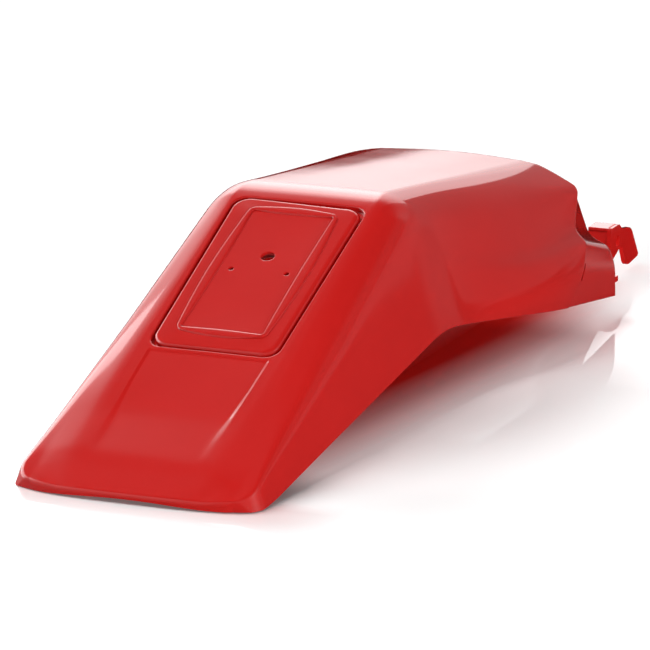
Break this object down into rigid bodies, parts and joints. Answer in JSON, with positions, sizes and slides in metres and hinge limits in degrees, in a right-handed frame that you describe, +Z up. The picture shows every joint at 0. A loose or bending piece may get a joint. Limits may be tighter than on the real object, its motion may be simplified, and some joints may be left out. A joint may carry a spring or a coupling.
{
  "type": "motorcycle rear fender",
  "caption": "Long sloping motorcycle rear fender with flared skirts, a raised lamp pad with a frame bead, a stepped front flange and hooked mounting arms.",
  "frame": {"origin": "on the floor under the middle of the overall length and width, as the fender rests on its tail end and the feet of its arms", "axes": "+X to the right side, +Y forwards from the tail to the front arms, +Z up"},
  "size_m": [0.2358, 0.666, 0.1306],
  "materials": {
    "red_plastic": "gloss moulded polypropylene"
  },
  "bodies": {
    "root": {"fender": "red_plastic"}
  },
  "joints": []
}
